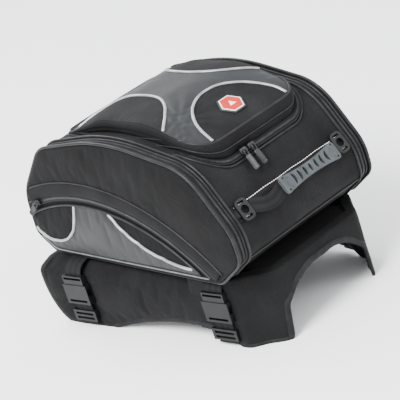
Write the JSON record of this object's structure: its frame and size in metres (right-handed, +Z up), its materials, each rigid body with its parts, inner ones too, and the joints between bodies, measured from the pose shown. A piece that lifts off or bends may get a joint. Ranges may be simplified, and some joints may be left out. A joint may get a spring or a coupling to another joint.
{
  "type": "motorcycle tail bag",
  "caption": "Soft black motorcycle tail bag with hinged zip lid, expanding sides and arched side pockets, buckled to a saddle base with hanging flaps.",
  "frame": {"origin": "middle of the face of the saddle mat that rests on the seat", "axes": "+Z up from the seat, +Y towards the front of the motorcycle, +X to the rider's right"},
  "size_m": [0.3824, 0.5118, 0.3618],
  "materials": {
    "shell_fabric": "heavy black polyester, fine weave, water-repellent coat",
    "panel_fabric": "black 1680D ballistic polyester over foam",
    "bottom_fabric": "black coated polyester",
    "gusset_fabric": "light black nylon",
    "base_fabric": "black 600D polyester over thin foam",
    "grey_vinyl": "dark grey embossed PVC leathercloth",
    "piping": "black vinyl corded piping",
    "silver_piping": "silver reflective piping",
    "zip_coil": "black nylon coil on woven tape",
    "slider_metal": "black lacquered zinc",
    "pull_rubber": "black moulded PVC",
    "webbing": "black polypropylene webbing",
    "reflective_thread": "white reflective stitching",
    "black_acetal": "black moulded acetal",
    "grip_rubber": "grey moulded rubber",
    "badge_rubber": "black moulded rubber",
    "badge_red": "red moulded PVC",
    "badge_white": "white moulded PVC",
    "binding_tape": "black grosgrain binding",
    "board": "black polyethylene sheet"
  },
  "bodies": {
    "saddle": {"saddle_mat": "base_fabric", "saddle_flap_left": "base_fabric", "saddle_flap_right": "base_fabric", "corner_flap_left": "base_fabric", "corner_flap_right": "base_fabric", "buckle_sockets": "black_acetal", "ladder_locks": "black_acetal", "lower_webbing": "webbing"},
    "bag": {"shell": "shell_fabric", "bottom_panel": "bottom_fabric", "base_board": "board", "shell_edge_piping_left": "piping", "shell_edge_piping_right": "piping", "lid_zip": "zip_coil", "rear_strap": "webbing", "ring_tabs": "webbing", "hold_down_straps": "webbing", "buckle_clips": "black_acetal"},
    "lid": {"lid_top": "grey_vinyl", "lid_wall": "panel_fabric", "lid_piping_left": "silver_piping", "lid_piping_right": "silver_piping", "lid_piping_rear": "silver_piping", "badge_plate": "badge_rubber", "badge_face": "badge_red"},
    "side_left": {"side_panel_left": "panel_fabric", "panel_piping_left": "piping", "gusset_left": "gusset_fabric", "expansion_zip_left": "zip_coil", "side_pocket_left": "grey_vinyl", "pocket_zip_left": "zip_coil", "storm_flap_left": "panel_fabric"},
    "side_right": {"side_panel_right": "panel_fabric", "panel_piping_right": "piping", "gusset_right": "gusset_fabric", "expansion_zip_right": "zip_coil", "side_pocket_right": "grey_vinyl", "pocket_zip_right": "zip_coil", "storm_flap_right": "panel_fabric"},
    "lid_slider_left": {"lid_slider_left": "slider_metal"},
    "lid_pull_left": {"lid_pull_left": "pull_rubber"},
    "pocket_slider_left": {"pocket_slider_left": "slider_metal"},
    "pocket_pull_left": {"pocket_pull_left": "pull_rubber"},
    "ring_left": {"ring_left": "black_acetal"},
    "lid_slider_right": {"lid_slider_right": "slider_metal"},
    "lid_pull_right": {"lid_pull_right": "pull_rubber"},
    "pocket_slider_right": {"pocket_slider_right": "slider_metal"},
    "pocket_pull_right": {"pocket_pull_right": "pull_rubber"},
    "ring_right": {"ring_right": "black_acetal"},
    "handle": {"handle_webbing": "webbing", "handle_grip": "grip_rubber"},
    "prong_front_left_fore": {"prong_front_left_fore": "black_acetal"},
    "prong_front_left_aft": {"prong_front_left_aft": "black_acetal"},
    "prong_front_right_fore": {"prong_front_right_fore": "black_acetal"},
    "prong_front_right_aft": {"prong_front_right_aft": "black_acetal"},
    "prong_rear_left_fore": {"prong_rear_left_fore": "black_acetal"},
    "prong_rear_left_aft": {"prong_rear_left_aft": "black_acetal"},
    "prong_rear_right_fore": {"prong_rear_right_fore": "black_acetal"},
    "prong_rear_right_aft": {"prong_rear_right_aft": "black_acetal"}
  },
  "joints": [
    {"name": "bag_lift", "type": "slide", "parent": "saddle", "child": "bag", "axis": [0, 0, 1], "range_m": [0, 0.12]},
    {"name": "lid_open", "type": "hinge", "parent": "bag", "child": "lid", "pos_m": [0, 0.135, 0.2113], "axis": [-1, 0, 0], "range_deg": [0, 80]},
    {"name": "side_left_expand", "type": "slide", "parent": "bag", "child": "side_left", "axis": [-1, 0, 0], "range_m": [0, 0.03]},
    {"name": "side_right_expand", "type": "slide", "parent": "bag", "child": "side_right", "axis": [1, 0, 0], "range_m": [0, 0.03]},
    {"name": "lid_slider_left_run", "type": "slide", "parent": "bag", "child": "lid_slider_left", "axis": [-1, 0, 0], "range_m": [0, 0.016]},
    {"name": "lid_pull_left_swing", "type": "hinge", "parent": "lid_slider_left", "child": "lid_pull_left", "pos_m": [-0.046, -0.20184, 0.18495], "axis": [-1, 0, 0], "range_deg": [0, 110]},
    {"name": "lid_slider_right_run", "type": "slide", "parent": "bag", "child": "lid_slider_right", "axis": [1, 0, 0], "range_m": [0, 0.09]},
    {"name": "lid_pull_right_swing", "type": "hinge", "parent": "lid_slider_right", "child": "lid_pull_right", "pos_m": [-0.028, -0.20184, 0.18495], "axis": [-1, 0, 0], "range_deg": [0, 110]},
    {"name": "pocket_slider_left_run", "type": "hinge", "parent": "side_left", "child": "pocket_slider_left", "pos_m": [-0.1602, 0.088, -0.251], "axis": [1, 0, 0], "range_deg": [0, 54]},
    {"name": "pocket_pull_left_swing", "type": "hinge", "parent": "pocket_slider_left", "child": "pocket_pull_left", "pos_m": [-0.1666, 0.20419, 0.1066], "axis": [0, 0.6691, 0.7431], "range_deg": [0, 100]},
    {"name": "pocket_slider_right_run", "type": "hinge", "parent": "side_right", "child": "pocket_slider_right", "pos_m": [0.1602, 0.088, -0.251], "axis": [1, 0, 0], "range_deg": [0, 54]},
    {"name": "pocket_pull_right_swing", "type": "hinge", "parent": "pocket_slider_right", "child": "pocket_pull_right", "pos_m": [0.1666, 0.20419, 0.1066], "axis": [0, -0.6691, -0.7431], "range_deg": [0, 100]},
    {"name": "ring_left_swing", "type": "hinge", "parent": "bag", "child": "ring_left", "pos_m": [-0.12, -0.23911, 0.12097], "axis": [0, -0.5391, -0.8423], "range_deg": [0, 90]},
    {"name": "ring_right_swing", "type": "hinge", "parent": "bag", "child": "ring_right", "pos_m": [0.12, -0.23911, 0.12097], "axis": [0, 0.5391, 0.8423], "range_deg": [0, 90]},
    {"name": "handle_swing", "type": "hinge", "parent": "bag", "child": "handle", "pos_m": [0, -0.23111, 0.13068], "axis": [-1, 0, 0], "range_deg": [0, 80]},
    {"name": "press_front_left_fore", "type": "slide", "parent": "bag", "child": "prong_front_left_fore", "axis": [0.1042, -0.9946, 0], "range_m": [0, 0.003], "stiffness_N_per_m": 2500},
    {"name": "press_front_left_aft", "type": "slide", "parent": "bag", "child": "prong_front_left_aft", "axis": [-0.1042, 0.9946, 0], "range_m": [0, 0.003], "stiffness_N_per_m": 2500},
    {"name": "press_front_right_fore", "type": "slide", "parent": "bag", "child": "prong_front_right_fore", "axis": [-0.1042, -0.9946, 0], "range_m": [0, 0.003], "stiffness_N_per_m": 2500},
    {"name": "press_front_right_aft", "type": "slide", "parent": "bag", "child": "prong_front_right_aft", "axis": [0.1042, 0.9946, 0], "range_m": [0, 0.003], "stiffness_N_per_m": 2500},
    {"name": "press_rear_left_fore", "type": "slide", "parent": "bag", "child": "prong_rear_left_fore", "axis": [0.1042, -0.9946, 0], "range_m": [0, 0.003], "stiffness_N_per_m": 2500},
    {"name": "press_rear_left_aft", "type": "slide", "parent": "bag", "child": "prong_rear_left_aft", "axis": [-0.1042, 0.9946, 0], "range_m": [0, 0.003], "stiffness_N_per_m": 2500},
    {"name": "press_rear_right_fore", "type": "slide", "parent": "bag", "child": "prong_rear_right_fore", "axis": [-0.1042, -0.9946, 0], "range_m": [0, 0.003], "stiffness_N_per_m": 2500},
    {"name": "press_rear_right_aft", "type": "slide", "parent": "bag", "child": "prong_rear_right_aft", "axis": [0.1042, 0.9946, 0], "range_m": [0, 0.003], "stiffness_N_per_m": 2500}
  ],
  "couplings": [
    {"joint": "press_front_left_aft", "follows": "press_front_left_fore", "ratio": 1},
    {"joint": "press_front_right_aft", "follows": "press_front_right_fore", "ratio": 1},
    {"joint": "press_rear_left_aft", "follows": "press_rear_left_fore", "ratio": 1},
    {"joint": "press_rear_right_aft", "follows": "press_rear_right_fore", "ratio": 1}
  ]
}
